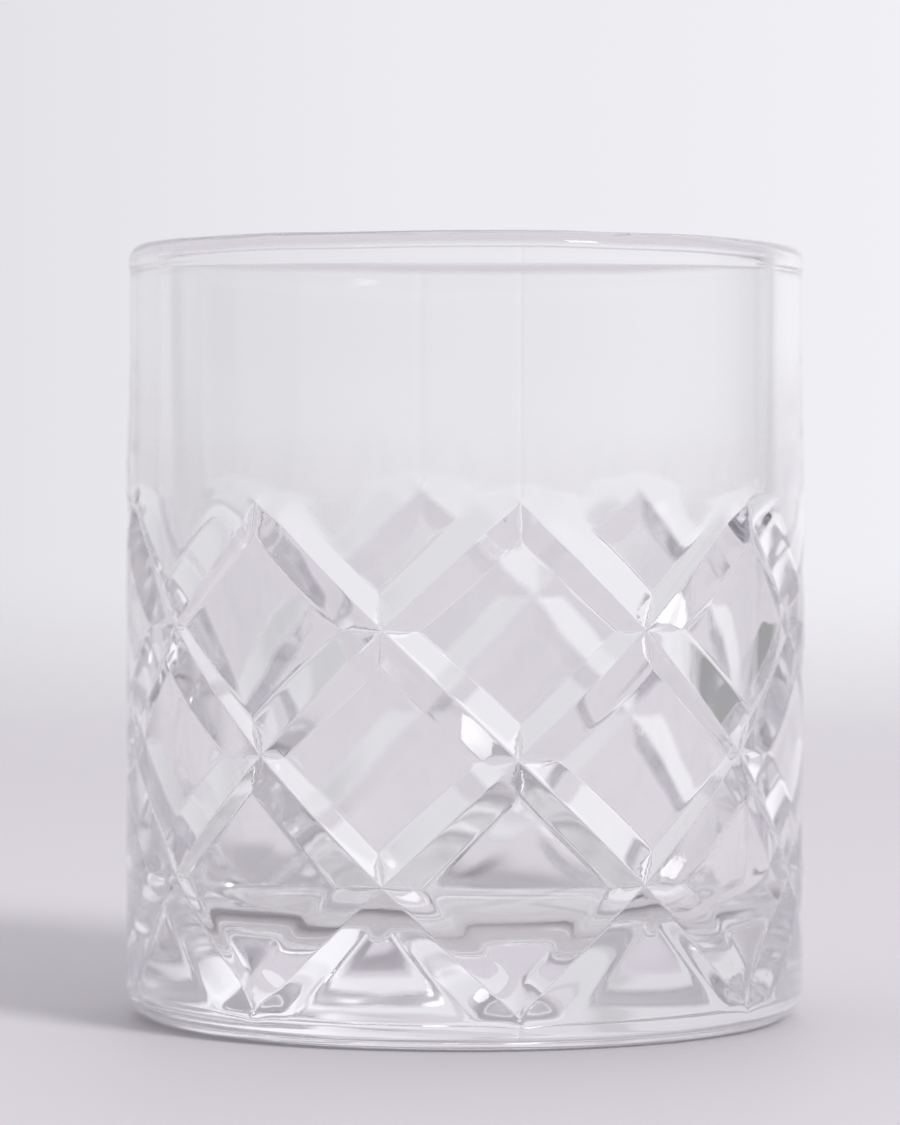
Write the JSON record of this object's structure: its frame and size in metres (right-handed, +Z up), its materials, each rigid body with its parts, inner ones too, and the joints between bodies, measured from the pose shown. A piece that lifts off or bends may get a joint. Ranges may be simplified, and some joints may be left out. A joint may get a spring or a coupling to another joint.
{
  "type": "whiskey tumbler",
  "caption": "Straight-sided low drinking glass with a thick base and a net of crossing V grooves round its lower two thirds.",
  "frame": {"origin": "centre of the foot ring, on the plane the tumbler stands on", "axes": "+Z up along the turning axis, out of the mouth; -Y is the front and carries a column of groove crossings"},
  "size_m": [0.0828, 0.0828, 0.0938],
  "materials": {
    "clear_glass": "clear, fire-polished soda-lime glass"
  },
  "bodies": {
    "root": {"tumbler_glass": "clear_glass"}
  },
  "joints": []
}
